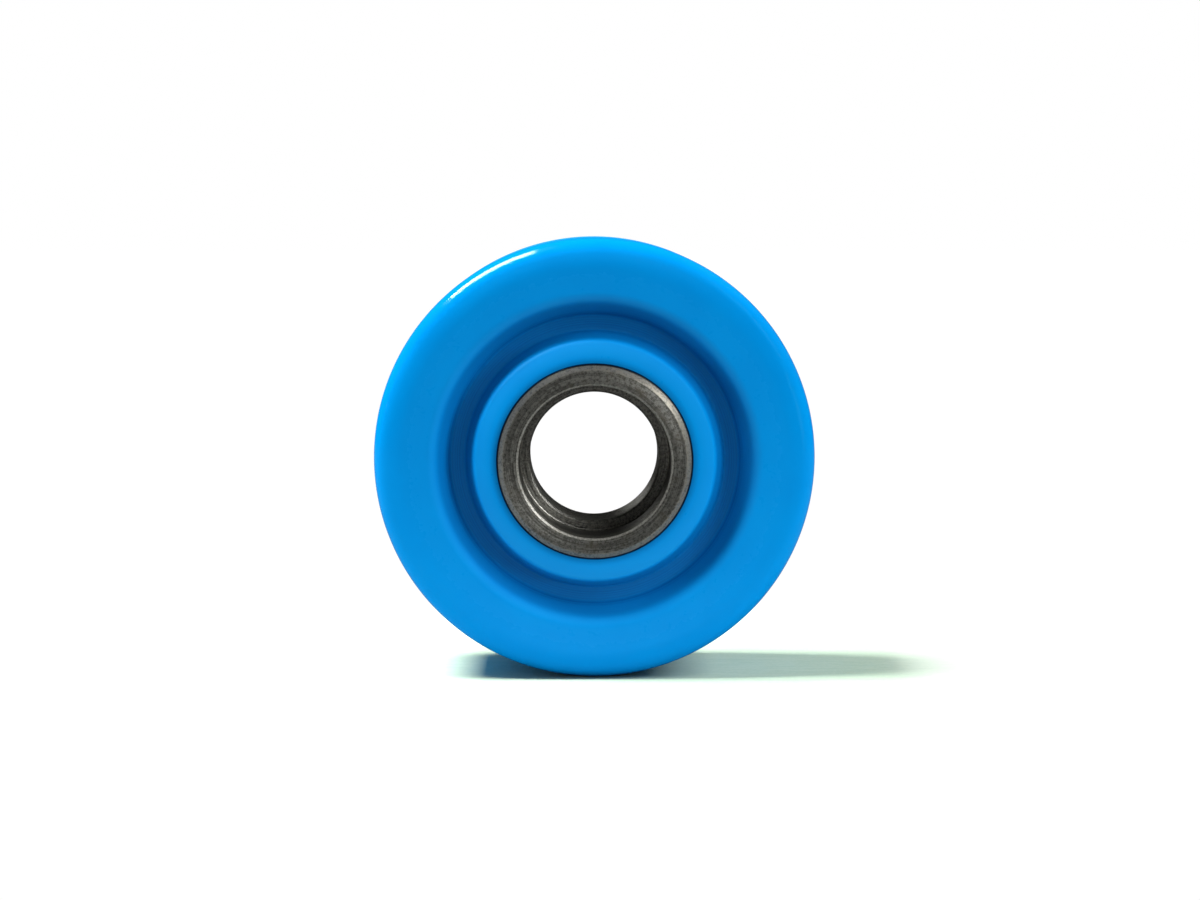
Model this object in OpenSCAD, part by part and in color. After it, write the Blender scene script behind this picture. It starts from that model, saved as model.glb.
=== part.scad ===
// Small wheel for a castor: a cast polyurethane tyre bonded to a turned steel sleeve.
// The sleeve has a bearing seat in each end. All sizes are in millimetres.
// The wheel's axis lies along Y, +Z is up, and the origin is the centre of the wheel.

/* [Tyre] */
// Outside diameter of the wheel
tyre_d = 64; // [58:1:80]
// Width over the flat side faces
tyre_w = 21; // [18:0.5:22]
// Diameter where the flat side face starts to fall towards the shoulder, before rounding
fall_d = 57.3; // [54:0.2:60]
// Tilt of that fall in degrees
fall_tilt = 15; // [5:1:25]
// Radius where the side face starts to fall
fall_r = 7; // [3:0.5:8]
// Radius of the rounded shoulder next to the tread
shoulder_r = 3.1; // [1.5:0.1:3.2]

/* [Ring groove] */
// Depth of the ring groove below the side face
groove_depth = 3.5; // [2.5:0.1:4.5]
// Diameter where the groove's outer side leaves the side face, before rounding
crease_d = 46.7; // [44.5:0.1:50]
// Radius of the rounded edge between side face and groove
crease_r = 1.95; // [0.5:0.05:2]
// Diameter where the groove's outer side meets its floor
slope_foot_d = 41.8; // [40:0.2:43]
// Radius where the groove's outer side meets its floor
slope_foot_r = 0.5; // [0.3:0.1:1.2]

/* [Boss around the sleeve] */
// Height of the boss above the side face, where it meets the sleeve
boss_h = 0.6; // [0.3:0.1:0.7]
// Diameter where the boss's top starts to fall, before rounding
boss_top_d = 31.1; // [30.6:0.1:32]
// Radius where the boss's top starts to fall
boss_top_r = 7; // [2:0.5:7]
// Diameter of the boss's outer edge, before rounding
boss_d = 34.6; // [33.6:0.2:35.4]
// Tilt of the boss's top near its outer edge, in degrees
boss_tilt = 22.5; // [10:0.5:30]
// Radius of the boss's outer edge
crest_r = 0.9; // [0.3:0.1:0.9]
// Diameter of the boss at its foot, before the fillet
boss_foot_d = 37.6; // [36.4:0.2:38.4]
// Radius of the fillet at the foot of the boss
boss_foot_r = 0.5; // [0.3:0.1:1]

/* [Sleeve] */
// Outside diameter of the steel sleeve
sleeve_d = 28; // [26:0.5:29]
// Length of the steel sleeve
sleeve_w = 24; // [23:0.5:28]
// Chamfer on the outside edge of the sleeve
sleeve_chamfer = 0.8; // [0.2:0.1:1]
// Diameter of the bearing seat in each end
seat_d = 22; // [19:0.5:23]
// Depth of each bearing seat
seat_depth = 8; // [6:0.5:10]
// Chamfer at the mouth of each bearing seat
seat_chamfer = 0.3; // [0.1:0.1:0.6]
// Fillet at the foot of each bearing seat
seat_fillet = 0.25; // [0.1:0.05:0.4]
// Diameter of the bore through the rim between the two seats
rim_d = 19; // [15:0.5:20]
// Chamfer on each edge of the rim bore
rim_chamfer = 0.25; // [0.1:0.05:0.5]

/* [Keying grooves] */
// Number of hidden grooves around the sleeve that hold the tyre
key_count = 3; // [1:1:4]
// Width of each hidden groove
key_w = 1.6; // [1:0.2:2.4]
// Depth of each hidden groove
key_depth = 0.6; // [0.3:0.1:1]
// Distance from one hidden groove to the next
key_pitch = 5; // [3:0.5:5]

/* [Output] */
// Which piece to draw

/* [Hidden] */
$fn = 180;
tyre_r = tyre_d / 2;
tyre_h = tyre_w / 2;
sleeve_r = sleeve_d / 2;
sleeve_h = sleeve_w / 2;
seat_r = seat_d / 2;
seat_foot = sleeve_h - seat_depth;
rim_r = rim_d / 2;
floor_h = tyre_h - groove_depth;
boss_top_h = tyre_h + boss_h;
crest_h = boss_top_h - (boss_d - boss_top_d) / 2 * tan(boss_tilt);
edge_h = tyre_h - (tyre_d - fall_d) / 2 * tan(fall_tilt);
key_first = -(key_count - 1) * key_pitch / 2;

// Corners of the tyre's section on one side, from the sleeve out to the tread.
meet_at = [sleeve_r, boss_top_h];
boss_top_at = [boss_top_d / 2, boss_top_h];
crest_at = [boss_d / 2, crest_h];
boss_foot_at = [boss_foot_d / 2, floor_h];
slope_foot_at = [slope_foot_d / 2, floor_h];
crease_at = [crease_d / 2, tyre_h];
fall_at = [fall_d / 2, tyre_h];
shoulder_at = [tyre_r, edge_h];
middle_at = [tyre_r, 0];

// Unit vector from p towards q.
function toward(p, q) = (q - p) / norm(q - p);

// Sections are drawn with the radius along X and the wheel's axis along Y.
// Each is turned into a solid of revolution and laid with its axis along Y.
module spin() {
    rotate([-90, 0, 0])
        rotate_extrude()
            children();
}

// The corner at p, between the sides that run to a and b, outside a true arc of radius r.
module corner_waste(p, a, b, r) {
    u = toward(p, a);
    v = toward(p, b);
    half = acos(u * v) / 2;
    mid = toward([0, 0], u + v);
    centre = p + mid * r / sin(half);
    touch_a = p + u * r / tan(half);
    touch_b = p + v * r / tan(half);
    difference() {
        polygon([
            centre,
            touch_a + toward(centre, touch_a),
            p - mid * 2,
            touch_b + toward(centre, touch_b)
        ]);
        translate(centre)
            circle(r = r);
    }
}

// The ring groove in one side, with its two foot corners rounded.
module groove_cut() {
    difference() {
        polygon([
            crest_at,
            boss_foot_at,
            slope_foot_at,
            crease_at,
            crease_at + [0, 3],
            crest_at + [0, 3]
        ]);
        corner_waste(boss_foot_at, crest_at, slope_foot_at, boss_foot_r);
        corner_waste(slope_foot_at, crease_at, boss_foot_at, slope_foot_r);
    }
}

// What is taken off one side of the tyre: the ring groove and the rounded corners' waste.
module tyre_side_cut() {
    groove_cut();
    corner_waste(boss_top_at, meet_at, crest_at, boss_top_r);
    corner_waste(crest_at, boss_top_at, boss_foot_at, crest_r);
    corner_waste(crease_at, slope_foot_at, fall_at, crease_r);
    corner_waste(fall_at, crease_at, shoulder_at, fall_r);
    corner_waste(shoulder_at, fall_at, middle_at, shoulder_r);
}

// The tyre's outside line before anything is cut, filled to the axis.
module tyre_blank() {
    upper = [
        [0, boss_top_h],
        boss_top_at,
        crest_at,
        [crest_at[0], tyre_h],
        fall_at,
        shoulder_at
    ];
    lower = [for (i = [len(upper) - 1 : -1 : 0]) [upper[i][0], -upper[i][1]]];
    polygon(concat(upper, lower));
}

// Outside line of the sleeve, filled to the axis, with its hidden keying grooves.
module sleeve_blank() {
    difference() {
        polygon([
            [0, -sleeve_h],
            [sleeve_r - sleeve_chamfer, -sleeve_h],
            [sleeve_r, sleeve_chamfer - sleeve_h],
            [sleeve_r, sleeve_h - sleeve_chamfer],
            [sleeve_r - sleeve_chamfer, sleeve_h],
            [0, sleeve_h]
        ]);
        for (i = [0 : key_count - 1])
            translate([sleeve_r - key_depth, key_first + i * key_pitch - key_w / 2])
                square([key_depth + 1, key_w]);
    }
}

// What is bored out of one end of the sleeve: the bearing seat with its mouth chamfer.
module seat_cut() {
    difference() {
        polygon([
            [0, seat_foot],
            [seat_r, seat_foot],
            [seat_r, sleeve_h - seat_chamfer],
            [seat_r + seat_chamfer + 1, sleeve_h + 1],
            [0, sleeve_h + 1]
        ]);
        corner_waste([seat_r, seat_foot], [0, seat_foot], [seat_r, sleeve_h], seat_fillet);
    }
}

// The bore through the rim between the seats, with a chamfer on each edge.
module rim_cut() {
    polygon([
        [0, -seat_foot - 1],
        [rim_r + rim_chamfer + 1, -seat_foot - 1],
        [rim_r, rim_chamfer - seat_foot],
        [rim_r, seat_foot - rim_chamfer],
        [rim_r + rim_chamfer + 1, seat_foot + 1],
        [0, seat_foot + 1]
    ]);
}

// Cast tyre with its web, ring grooves and bosses in one body.
module tyre() {
    color([0.0, 0.30, 0.68])
        spin()
            difference() {
                tyre_blank();
                tyre_side_cut();
                mirror([0, 1])
                    tyre_side_cut();
                sleeve_blank();
            }
}

// Turned steel sleeve: a bearing seat in each end and a narrower rim between them.
module hub_sleeve() {
    color([0.42, 0.42, 0.40])
        spin()
            difference() {
                sleeve_blank();
                seat_cut();
                mirror([0, 1])
                    seat_cut();
                rim_cut();
            }
}

tyre();
hub_sleeve();
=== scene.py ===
import bpy
from math import sin, cos, tan, pi, radians, atan2, hypot
from mathutils import Matrix, Vector


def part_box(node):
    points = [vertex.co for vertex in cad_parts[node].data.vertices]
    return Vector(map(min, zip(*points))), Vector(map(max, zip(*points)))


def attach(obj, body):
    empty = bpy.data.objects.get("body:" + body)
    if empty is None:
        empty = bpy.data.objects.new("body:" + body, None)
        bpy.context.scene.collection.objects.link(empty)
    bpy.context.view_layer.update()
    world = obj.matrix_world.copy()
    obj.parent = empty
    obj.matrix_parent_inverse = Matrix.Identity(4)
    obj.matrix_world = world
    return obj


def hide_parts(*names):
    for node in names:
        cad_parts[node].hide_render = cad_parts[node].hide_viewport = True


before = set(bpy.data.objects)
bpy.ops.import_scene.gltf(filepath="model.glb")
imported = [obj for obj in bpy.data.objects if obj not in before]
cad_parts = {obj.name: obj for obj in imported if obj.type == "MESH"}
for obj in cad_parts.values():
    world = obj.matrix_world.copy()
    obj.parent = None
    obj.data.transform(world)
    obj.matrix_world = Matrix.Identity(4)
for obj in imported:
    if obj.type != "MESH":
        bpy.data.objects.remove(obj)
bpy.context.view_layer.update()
MM = 0.001

lo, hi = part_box("tyre")
R_TREAD = (hi.z - lo.z) / 2 / MM
lo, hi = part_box("hub_sleeve")
R_SLEEVE = (hi.z - lo.z) / 2 / MM
H_SLEEVE = (hi.y - lo.y) / 2 / MM

# ---------------------------------------------------------------- sizes
# In millimetres. Points of a half section are (radius, distance from the middle plane).

# The tyre's side: its flat face, the groove's floor, two tilts in degrees, and the corners before rounding
FACE = 10.5
FLOOR = 7.0
BOSS_TILT = 22.5
FALL_TILT = 15
CREST_R = 17.3
BOSS_TOP = (15.55, FACE + 0.6)
CREST = (CREST_R, BOSS_TOP[1] - (CREST_R - BOSS_TOP[0]) * tan(radians(BOSS_TILT)))
BOSS_FOOT = (18.8, FLOOR)
SLOPE_FOOT = (20.9, FLOOR)
CREASE = (23.35, FACE)
FALL = (28.65, FACE)
SHOULDER = (R_TREAD, FACE - (R_TREAD - FALL[0]) * tan(radians(FALL_TILT)))
HALF_TREAD = 7.2

# The tyre's rounded edge next to the sleeve, and its clearance there and in the bore
LIP_R = 0.15
LIP_GAP = 0.02
BORE_GAP = 0.01

# The sleeve: the bearing seat's radius, depth and floor, the rim between the seats, fillet and chamfers
R_SEAT = 11.0
SEAT_DEPTH = 8.0
SEAT = H_SLEEVE - SEAT_DEPTH
R_RIM = 9.5
SEAT_FILLET = 0.25
RIM_CHAMFER = 0.25
MOUTH_CHAMFER = 0.3
CHAMFER = 0.8

# How finely a skin is made: the length of straight pieces, and the steps around the axis
SPACING = 0.35
STEPS = 256

# ---------------------------------------------------------------- profiles


def arc(cr, ch, r, a0, a1, n):
    """Points on an arc about (cr, ch); angles in degrees from the outward radial direction."""
    out = []
    for i in range(n + 1):
        a = radians(a0 + (a1 - a0) * i / n)
        out.append((cr + r * cos(a), ch + r * sin(a)))
    return out


def corner(p, a, b, r, n):
    """A true arc of radius r that rounds the corner p between the sides that run to a and b."""
    p, a, b = Vector(p), Vector(a), Vector(b)
    u, v = (a - p).normalized(), (b - p).normalized()
    half = u.angle(v) / 2
    centre = p + (u + v).normalized() * (r / sin(half))
    first = p + u * (r / tan(half)) - centre
    last = p + v * (r / tan(half)) - centre
    t0 = atan2(first.y, first.x)
    t1 = atan2(last.y, last.x)
    while t1 - t0 > pi:
        t1 -= 2 * pi
    while t1 - t0 < -pi:
        t1 += 2 * pi
    turns = [t0 + (t1 - t0) * i / n for i in range(n + 1)]
    return [(centre.x + r * cos(t), centre.y + r * sin(t)) for t in turns]


def rounded(start, corners, end):
    """The arcs at the corners on the way from start to end. Each corner is (point, radius, pieces)."""
    points = [start] + [point for point, r, n in corners] + [end]
    return [corner(p, points[i], points[i + 2], r, n) for i, (p, r, n) in enumerate(corners)]


def line(p, q, n):
    """Points between p and q, without its ends."""
    return [(p[0] + (q[0] - p[0]) * i / n, p[1] + (q[1] - p[1]) * i / n) for i in range(1, n)]


def join(*runs):
    """One profile from several runs, with short straight stretches filled in between."""
    out = list(runs[0])
    for run in runs[1:]:
        gap = hypot(run[0][0] - out[-1][0], run[0][1] - out[-1][1])
        if gap > 1e-6:
            out += line(out[-1], run[0], max(1, int(gap / SPACING)))
            out += run
        else:
            out += run[1:]
    return out


def whole(half):
    """Both sides of a section from its +Y half, as one closed loop."""
    back = [(r, -y) for r, y in reversed(half) if y > 1e-6]
    return half + back


def tyre_half():
    """From the tyre's bore out to the middle of the tread, on the +Y side."""
    lip = arc(R_SLEEVE + LIP_GAP + LIP_R, BOSS_TOP[1] - LIP_R, LIP_R, 180, 95, 6)
    middle = (R_TREAD, 0.0)
    side = (
        (BOSS_TOP, 6.8, 16),
        (CREST, 0.9, 12),
        (BOSS_FOOT, 0.5, 8),
        (SLOPE_FOOT, 0.5, 8),
        (CREASE, 1.95, 16),
        (FALL, 7.0, 10),
        (SHOULDER, 3.1, 24),
    )
    return join([(R_SLEEVE + BORE_GAP, 0.0)], lip, *rounded(lip[-1], side, middle), [middle])


def sleeve_half():
    """From the middle of the rim's bore out to the middle of the sleeve's outside."""
    inside = (R_RIM, 0.0)
    outside = (R_SLEEVE, 0.0)
    end = (
        ((R_RIM, SEAT - RIM_CHAMFER), 0.05, 2),
        ((R_RIM + RIM_CHAMFER, SEAT), 0.05, 2),
        ((R_SEAT, SEAT), SEAT_FILLET, 6),
        ((R_SEAT, H_SLEEVE - MOUTH_CHAMFER), 0.08, 3),
        ((R_SEAT + MOUTH_CHAMFER, H_SLEEVE), 0.08, 3),
        ((R_SLEEVE - CHAMFER, H_SLEEVE), 0.12, 3),
        ((R_SLEEVE, H_SLEEVE - CHAMFER), 0.1, 3),
    )
    return join([inside], *rounded(inside, end, outside), [outside])


# ---------------------------------------------------------------- pieces


def new_object(name, verts, faces):
    """An object made from plain lists of points and faces, in the scene."""
    mesh = bpy.data.meshes.new(name)
    mesh.from_pydata(verts, [], faces)
    obj = bpy.data.objects.new(name, mesh)
    bpy.context.scene.collection.objects.link(obj)
    return obj


def lathe(name, profile):
    """A smooth closed skin of revolution about Y from a closed profile."""
    verts, faces = [], []
    n = len(profile)
    for k in range(STEPS):
        t = 2 * pi * k / STEPS
        ct, st = cos(t) * MM, sin(t) * MM
        verts += [(r * ct, h * MM, r * st) for r, h in profile]
        a, b = k * n, (k + 1) % STEPS * n
        for i in range(n):
            j = (i + 1) % n
            faces.append((a + i, b + i, b + j, a + j))
    obj = new_object(name, verts, faces)
    obj.data.polygons.foreach_set("use_smooth", [True] * len(faces))
    obj.data.update()
    return obj


tyre = lathe("tyre_skin", whole(tyre_half()))
sleeve = lathe("sleeve_skin", whole(sleeve_half()))
for piece, node, slot in ((tyre, "tyre", "tyre"), (sleeve, "hub_sleeve", "sleeve")):
    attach(piece, "root")
    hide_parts(node)

# ---------------------------------------------------------------- materials


class Nodes:
    """Short hands for building a node material."""

    def __init__(self, name):
        self.mat = bpy.data.materials.new(name)
        self.mat.use_nodes = True
        self.tree = self.mat.node_tree
        self.bsdf = self.tree.nodes["Principled BSDF"]

    def node(self, kind, **settings):
        n = self.tree.nodes.new(kind)
        for key, value in settings.items():
            setattr(n, key, value)
        return n

    def put(self, socket, value):
        """Links the socket to another node's output, or gives it a fixed value."""
        if isinstance(value, bpy.types.NodeSocket):
            self.tree.links.new(value, socket)
        else:
            socket.default_value = value

    def math(self, op, a, b=0.0, c=0.0, clamp=False):
        n = self.node("ShaderNodeMath", operation=op, use_clamp=clamp)
        for s, v in zip(n.inputs, (a, b, c)):
            self.put(s, v)
        return n.outputs[0]

    def mul(self, a, b):
        return self.math("MULTIPLY", a, b)

    def add(self, a, b, clamp=False):
        return self.math("ADD", a, b, clamp=clamp)

    def sub(self, a, b):
        return self.math("SUBTRACT", a, b)

    def length(self, a, b):
        return self.math("SQRT", self.add(self.mul(a, a), self.mul(b, b)))

    def step(self, value, a, b, lo=0.0, hi=1.0):
        """Goes smoothly from lo, where the value is a, to hi, where it is b."""
        n = self.node("ShaderNodeMapRange", interpolation_type="SMOOTHSTEP")
        for s, v in zip(n.inputs[:5], (value, a, b, lo, hi)):
            self.put(s, v)
        return n.outputs[0]

    def band(self, value, a, b, soft):
        """1 between a and b, falling to 0 over the width soft on both sides."""
        return self.mul(self.step(value, a - soft, a), self.step(value, b, b + soft, 1.0, 0.0))

    def noise(self, vector, scale, detail, rough):
        n = self.node("ShaderNodeTexNoise")
        self.put(n.inputs["Vector"], vector)
        n.inputs["Scale"].default_value = scale
        n.inputs["Detail"].default_value = detail
        n.inputs["Roughness"].default_value = rough
        return n.outputs["Fac"]

    def mix(self, fac, a, b):
        n = self.node("ShaderNodeMix", data_type="RGBA")
        self.put(n.inputs["Factor"], fac)
        self.put(n.inputs[6], a)
        self.put(n.inputs[7], b)
        return n.outputs[2]

    def vector(self, x, y, z):
        n = self.node("ShaderNodeCombineXYZ")
        for s, v in zip(n.inputs, (x, y, z)):
            self.put(s, v)
        return n.outputs[0]

    def bump(self, height, distance, strength, normal=None):
        n = self.node("ShaderNodeBump")
        n.inputs["Strength"].default_value = strength
        n.inputs["Distance"].default_value = distance
        self.put(n.inputs["Height"], height)
        if normal is not None:
            self.put(n.inputs["Normal"], normal)
        return n.outputs[0]

    def position(self):
        """Position on the object in millimetres, as one vector and as its three parts."""
        coords = self.node("ShaderNodeTexCoord")
        scaled = self.node("ShaderNodeVectorMath", operation="SCALE")
        self.put(scaled.inputs[0], coords.outputs["Object"])
        scaled.inputs["Scale"].default_value = 1 / MM
        parts = self.node("ShaderNodeSeparateXYZ")
        self.put(parts.inputs[0], scaled.outputs[0])
        return (scaled.outputs[0], *parts.outputs)


def tyre_material():
    """Cast polyurethane: glossy shoulder, satin side, duller boss and groove, duller tread with fine laps
    round it. Painted shade darkens the groove, more towards its floor, and the boss next to the sleeve, with
    a near-black painted shade line on the lip at the sleeve."""
    m = Nodes("polyurethane_blue")
    b = m.bsdf.inputs
    p, x, y, z = m.position()
    r = m.length(x, z)
    side = m.math("ABSOLUTE", y)

    # Places on the tyre
    ring = m.mul(
        m.step(r, CREST_R - 0.7, CREST_R + 0.5),
        m.step(r, CREASE[0] + 0.25, CREASE[0] + 1.25, 1.0, 0.0),
    )
    groove = m.mul(m.step(side, FACE + 0.15, FACE - 1.5), ring)
    groove_floor = m.step(side, FACE - 2.4, FLOOR + 0.3)
    tread = m.mul(
        m.step(side, HALF_TREAD + 0.4, HALF_TREAD - 0.3),
        m.step(r, R_TREAD - 1.0, R_TREAD - 0.3),
    )
    shoulder = m.step(r, FALL[0] - 2.65, FALL[0] + 0.85)
    boss_and_groove = m.band(r, CREST_R - 1.3, CREASE[0] + 0.15, 0.8)
    # Painted shade on the boss, growing towards the sleeve.
    painted_shade_near_sleeve = m.step(r, R_SLEEVE + 1.3, R_SLEEVE + 0.1)
    lip = m.step(r, R_SLEEVE + 0.26, R_SLEEVE + 0.12)

    # Patterns
    rings = m.noise(m.vector(m.mul(r, 3.4), m.mul(side, 2.0), 0.0), 1.0, 3.0, 0.7)
    laps = m.noise(m.vector(m.mul(y, 5.0), 0.0, 7.0), 1.0, 2.0, 0.6)
    cloud = m.noise(p, 0.10, 2.0, 0.5)
    grain = m.noise(p, 2.4, 3.0, 0.6)
    gloss = m.noise(p, 0.9, 4.0, 0.65)

    colour = m.mix(m.step(cloud, 0.3, 0.7), (0.0, 0.258, 0.695, 1), (0.0, 0.272, 0.715, 1))
    # Painted shade: the groove is darkened, more towards its floor and varied by the rings, and so is the
    # boss next to the sleeve; both mix towards dark blue.
    painted_shade_mix = m.math("MULTIPLY_ADD", groove_floor, m.step(rings, 0.35, 0.70, 0.02, 0.24), 0.54)
    painted_shade_mix = m.add(m.mul(groove, painted_shade_mix), m.mul(painted_shade_near_sleeve, 0.45), clamp=True)
    colour = m.mix(painted_shade_mix, colour, (0.0, 0.060, 0.250, 1))
    # Painted shade: a near-black line on the tyre's lip where it meets the sleeve.
    colour = m.mix(m.mul(lip, 0.9), colour, (0.0, 0.006, 0.03, 1))
    m.put(b["Base Color"], colour)

    rough = m.add(m.step(gloss, 0.3, 0.7, 0.27, 0.33), m.mul(boss_and_groove, 0.24))
    rough = m.sub(rough, m.mul(shoulder, 0.20))
    rough = m.add(rough, m.mul(tread, 0.38))
    m.put(b["Roughness"], rough)
    b["IOR"].default_value = 1.5
    b["Specular IOR Level"].default_value = 0.24
    b["Specular Tint"].default_value = (0.55, 0.95, 1.0, 1)

    skin = m.bump(grain, 0.00002, 0.03)
    ridges = m.add(m.mul(rings, groove), m.mul(laps, m.mul(tread, 0.6)))
    m.put(b["Normal"], m.bump(ridges, 0.0001, 0.5, skin))
    return m.mat


def sleeve_material():
    """Turned steel: tool marks round the axis and speckle on dull grey, with painted highlights on the outer
    chamfers, mouths and seat ledges, and painted shade on the seat walls and at the outer rim.
    The end faces, chamfers and mouths are a little less metallic, so that plain light shows on them."""
    m = Nodes("turned_steel")
    b = m.bsdf.inputs
    p, x, y, z = m.position()
    r = m.length(x, z)
    side = m.math("ABSOLUTE", y)
    angle = m.math("ARCTAN2", z, x)

    # Places on the sleeve
    painted_seat_shade = m.mul(
        m.band(r, R_SEAT - 0.2, R_SEAT + 0.05, 0.1),
        m.step(side, H_SLEEVE - 1.5, H_SLEEVE - 4.0),
    )
    painted_seat_shade = m.mul(painted_seat_shade, m.step(side, SEAT + 0.05, SEAT + 0.3))
    ledge = m.mul(m.step(r, R_RIM + 0.2, R_RIM + 0.3), m.step(side, SEAT + 0.2, SEAT + 0.05))
    edge = m.mul(
        m.step(r, R_SLEEVE - CHAMFER - 0.15, R_SLEEVE - CHAMFER + 0.10),
        m.step(side, H_SLEEVE - CHAMFER - 0.2, H_SLEEVE - CHAMFER + 0.2),
    )
    mouth = m.mul(
        m.band(r, R_SEAT, R_SEAT + 0.25, 0.08),
        m.step(side, H_SLEEVE - MOUTH_CHAMFER - 0.10, H_SLEEVE - MOUTH_CHAMFER + 0.05),
    )
    painted_rim_shade = m.step(r, R_SLEEVE - 0.17, R_SLEEVE - 0.05)
    end = m.mul(
        m.step(side, H_SLEEVE - 0.05, H_SLEEVE - 0.01),
        m.step(r, R_SEAT + 0.2, R_SEAT + 0.5),
    )

    # Patterns
    across = m.add(r, side)
    fine = m.noise(m.vector(m.mul(across, 5.0), m.mul(angle, 0.8), 0.0), 1.0, 3.0, 0.7)
    broad = m.noise(m.vector(m.mul(across, 1.7), m.mul(angle, 0.3), 3.0), 1.0, 2.0, 0.6)
    scores = m.noise(m.vector(m.mul(across, 3.1), 0.0, 9.0), 1.0, 1.0, 0.5)
    speck = m.noise(p, 2.8, 4.0, 0.75)
    stain = m.noise(p, 0.35, 4.0, 0.6)
    lines = m.add(m.mul(fine, 0.6), m.mul(broad, 0.4))

    colour = m.mix(m.step(lines, 0.36, 0.64), (0.19, 0.188, 0.170, 1), (0.52, 0.518, 0.470, 1))
    colour = m.mix(m.step(scores, 0.60, 0.68, 0.0, 0.45), colour, (0.12, 0.118, 0.106, 1))
    colour = m.mix(m.step(speck, 0.42, 0.62, 0.0, 0.70), colour, (0.09, 0.089, 0.080, 1))
    colour = m.mix(m.step(stain, 0.5, 0.75, 0.0, 0.4), colour, (0.26, 0.23, 0.17, 1))
    # Painted highlights: the seat ledges and the mouth chamfers are mixed towards light grey, broken up by
    # the speckle.
    bright = m.add(m.mul(ledge, 0.35), m.mul(mouth, 0.60), clamp=True)
    bright = m.mul(bright, m.step(speck, 0.65, 0.40, 0.3, 1.0))
    colour = m.mix(bright, colour, (0.72, 0.71, 0.64, 1))
    # Painted highlight: the outer chamfer is mixed towards a lighter warm grey, broken up by the speckle.
    painted_edge_highlight = m.mul(edge, m.step(speck, 0.62, 0.42, 0.10, 0.95))
    colour = m.mix(painted_edge_highlight, colour, (0.38, 0.345, 0.27, 1))
    # Painted shade: the seat walls darken deeper inside the seat.
    colour = m.mix(m.mul(painted_seat_shade, 0.85), colour, (0.085, 0.085, 0.08, 1))
    # Painted shade: a near-black line at the sleeve's outer rim, where it meets the tyre.
    colour = m.mix(m.mul(painted_rim_shade, 0.9), colour, (0.02, 0.02, 0.02, 1))
    m.put(b["Base Color"], colour)

    dull = m.add(m.mul(edge, 0.32), m.mul(mouth, 0.30))
    dull = m.add(dull, m.mul(end, 0.09))
    m.put(b["Metallic"], m.sub(1.0, dull))
    m.put(b["Roughness"], m.sub(m.step(fine, 0.25, 0.75, 0.34, 0.48), m.mul(ledge, 0.10)))
    b["Anisotropic"].default_value = 0.6
    b["Anisotropic Rotation"].default_value = 0.25
    turned = m.node("ShaderNodeTangent", direction_type="RADIAL", axis="Y")
    m.put(b["Tangent"], turned.outputs[0])

    pits = m.bump(speck, 0.00008, 0.45)
    m.put(b["Normal"], m.bump(lines, 0.00008, 0.7, pits))
    return m.mat


def floor_material():
    """Plain pale table top. A little way from the wheel the camera sees it burn out to white, and it throws
    less light back on the wheel than its full tone would."""
    m = Nodes("floor_white")
    b = m.bsdf.inputs
    p, x, y, _ = m.position()
    away = m.length(x, y)
    path = m.node("ShaderNodeLightPath")
    seen = path.outputs["Is Camera Ray"]

    streaks = m.noise(m.vector(m.mul(x, 0.12), m.mul(y, 0.9), 0.0), 1.0, 3.0, 0.6)
    mottle = m.noise(p, 1.6, 3.0, 0.6)
    tone = m.add(m.mul(streaks, 0.6), m.mul(mottle, 0.4))
    pale = m.mix(m.step(tone, 0.35, 0.65), (0.62, 0.79, 0.60, 1), (0.70, 0.85, 0.66, 1))
    near = m.mul(m.step(away, 60.0, 160.0, 1.0, 0.0), m.step(y, -70.0, -40.0))
    bounce = m.mix(near, (0.10, 0.10, 0.10, 1), (0.40, 0.45, 0.44, 1))
    bounce = m.mix(path.outputs["Is Glossy Ray"], bounce, (0.06, 0.06, 0.06, 1))
    m.put(b["Base Color"], m.mix(seen, bounce, pale))
    b["Roughness"].default_value = 0.7
    b["Specular IOR Level"].default_value = 0.0

    glow = m.node("ShaderNodeEmission")
    glow.inputs["Color"].default_value = (1, 1, 1, 1)
    glow.inputs["Strength"].default_value = 1.02
    blend = m.node("ShaderNodeMixShader")
    m.put(blend.inputs[0], m.mul(seen, m.step(away, 42.0, 62.0)))
    m.put(blend.inputs[1], m.bsdf.outputs[0])
    m.put(blend.inputs[2], glow.outputs[0])
    m.put(m.tree.nodes["Material Output"].inputs["Surface"], blend.outputs[0])
    return m.mat


tyre.data.materials.append(tyre_material())
sleeve.data.materials.append(sleeve_material())

# ---------------------------------------------------------------- floor and camera
# Lengths in metres, angles in degrees. REACH is half the side of the floor.

GROUND = -R_TREAD * MM
REACH = 3.0
CAMERA_PLACE = Vector((-3.45, -330.7, 36.69)) * MM
CAMERA_DOWN = 6.243
CAMERA_RIGHT = 0.751

floor = new_object(
    "floor",
    [(-REACH, -REACH, GROUND), (REACH, -REACH, GROUND), (REACH, REACH, GROUND), (-REACH, REACH, GROUND)],
    [(0, 1, 2, 3)],
)
floor.data.materials.append(floor_material())

cam_data = bpy.data.cameras.new("camera")
cam_data.sensor_width = 36.0
cam_data.lens = 67.24
cam_data.clip_start = 0.01
cam_data.clip_end = 10.0
cam = bpy.data.objects.new("camera", cam_data)
bpy.context.scene.collection.objects.link(cam)
cam.location = CAMERA_PLACE
cam.rotation_euler = (radians(90 - CAMERA_DOWN), 0, radians(-CAMERA_RIGHT))
bpy.context.scene.camera = cam

# ---------------------------------------------------------------- light

LIGHT_DISTANCE = 0.7

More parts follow.
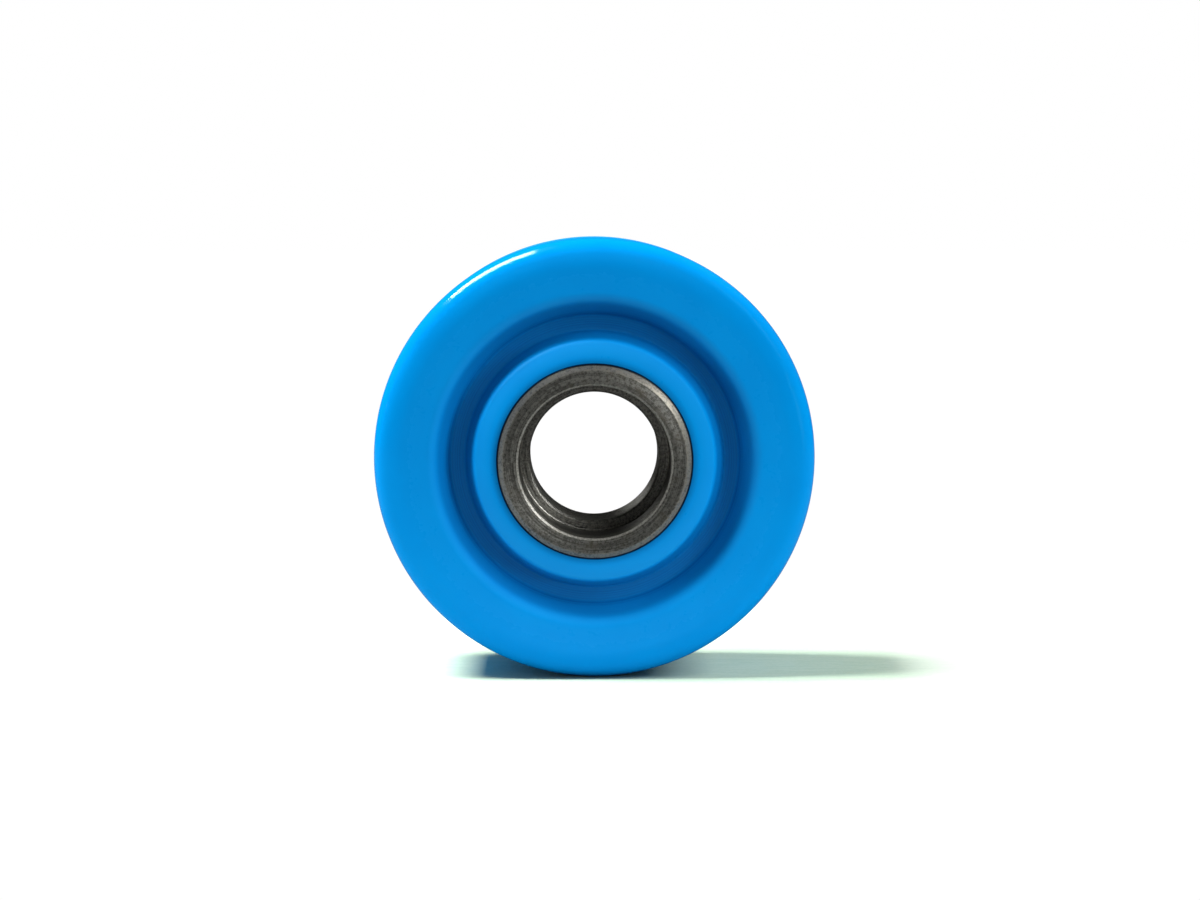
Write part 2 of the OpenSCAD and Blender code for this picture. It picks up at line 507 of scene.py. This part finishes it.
# Each light: name, turn, forward, width, height, power, the light it gives, and what it falls on. turn goes
# round the wheel's axis from its right (0) over its top (90) to its left (180). forward is the angle in
# front of the wheel's own plane, towards the camera. Angles are in degrees, sizes in metres.
LIGHTS = (
    ("key", 118, -2, 0.34, 0.34, 7.5, "diffuse", (tyre,)),
    ("key_on_floor", 118, 0, 0.28, 0.28, 12.0, "all", (floor,)),
    ("key_shine", 121, -4, 0.34, 0.27, 13.0, "glossy", (tyre,)),
    ("left_strip", 172, 6, 0.36, 0.17, 3.6, "diffuse", (tyre, sleeve)),
    ("right_low", 5, 33, 0.20, 0.20, 2.0, "diffuse", (tyre, sleeve)),
    ("right_high", 38, 22, 0.40, 0.20, 1.9, "diffuse", (tyre, sleeve)),
    ("right_on_floor", 40, 8, 0.40, 0.20, 3.5, "all", (floor,)),
    ("glint", 36, 40, 0.26, 0.26, 2.2, "glossy", (sleeve,)),
    ("edge_glint", 36, 8, 0.22, 0.16, 0.8, "glossy", (sleeve,)),
    ("front", 90, 50, 0.5, 0.5, 1.1, "diffuse", (tyre, sleeve)),
    ("back", 40, -25, 0.60, 0.30, 2.4, "diffuse", (tyre, sleeve)),
    ("back_glint", 140, -40, 0.30, 0.30, 0.7, "all", (sleeve,)),
)


def softbox(name, turn, forward, width, height, power, gives, falls_on):
    """A rectangular light aimed at the wheel. It falls on the given objects alone, as flags and cards make it
    do in a studio."""
    a, e = radians(turn), radians(forward)
    way = Vector((cos(a) * cos(e), -sin(e), sin(a) * cos(e)))
    across = Vector((-sin(a), 0.0, cos(a)))
    axes = Matrix((across, way.cross(across), way)).transposed().to_4x4()
    data = bpy.data.lights.new(name, "AREA")
    data.shape = "RECTANGLE"
    data.size, data.size_y = width, height
    data.energy = power
    obj = bpy.data.objects.new(name, data)
    obj.matrix_world = Matrix.Translation(way * LIGHT_DISTANCE) @ axes
    bpy.context.scene.collection.objects.link(obj)
    obj.visible_glossy = gives != "diffuse"
    obj.visible_diffuse = gives != "glossy"
    group = bpy.data.collections.new(name + "_on")
    for target in falls_on:
        group.objects.link(target)
    obj.light_linking.receiver_collection = group


def surroundings():
    """A white room: bright to the camera, dim as a light, and dimmer still in reflections."""
    world = bpy.data.worlds.new("studio")
    bpy.context.scene.world = world
    world.use_nodes = True
    tree = world.node_tree
    tree.nodes.clear()

    def white(strength):
        shade = tree.nodes.new("ShaderNodeBackground")
        shade.inputs["Color"].default_value = (1, 1, 1, 1)
        shade.inputs["Strength"].default_value = strength
        return shade.outputs[0]

    def choose(ray, for_others, for_ray):
        blend = tree.nodes.new("ShaderNodeMixShader")
        for socket, value in zip(blend.inputs, (ray, for_others, for_ray)):
            tree.links.new(value, socket)
        return blend.outputs[0]

    path = tree.nodes.new("ShaderNodeLightPath")
    light = choose(path.outputs["Is Glossy Ray"], white(0.16), white(0.02))
    room = choose(path.outputs["Is Camera Ray"], light, white(1.0))
    out = tree.nodes.new("ShaderNodeOutputWorld")
    tree.links.new(room, out.inputs["Surface"])


for light in LIGHTS:
    softbox(*light)
surroundings()

view = bpy.context.scene.view_settings
view.view_transform = "Standard"
view.look = "None"
view.exposure = 0.0
view.gamma = 1.0
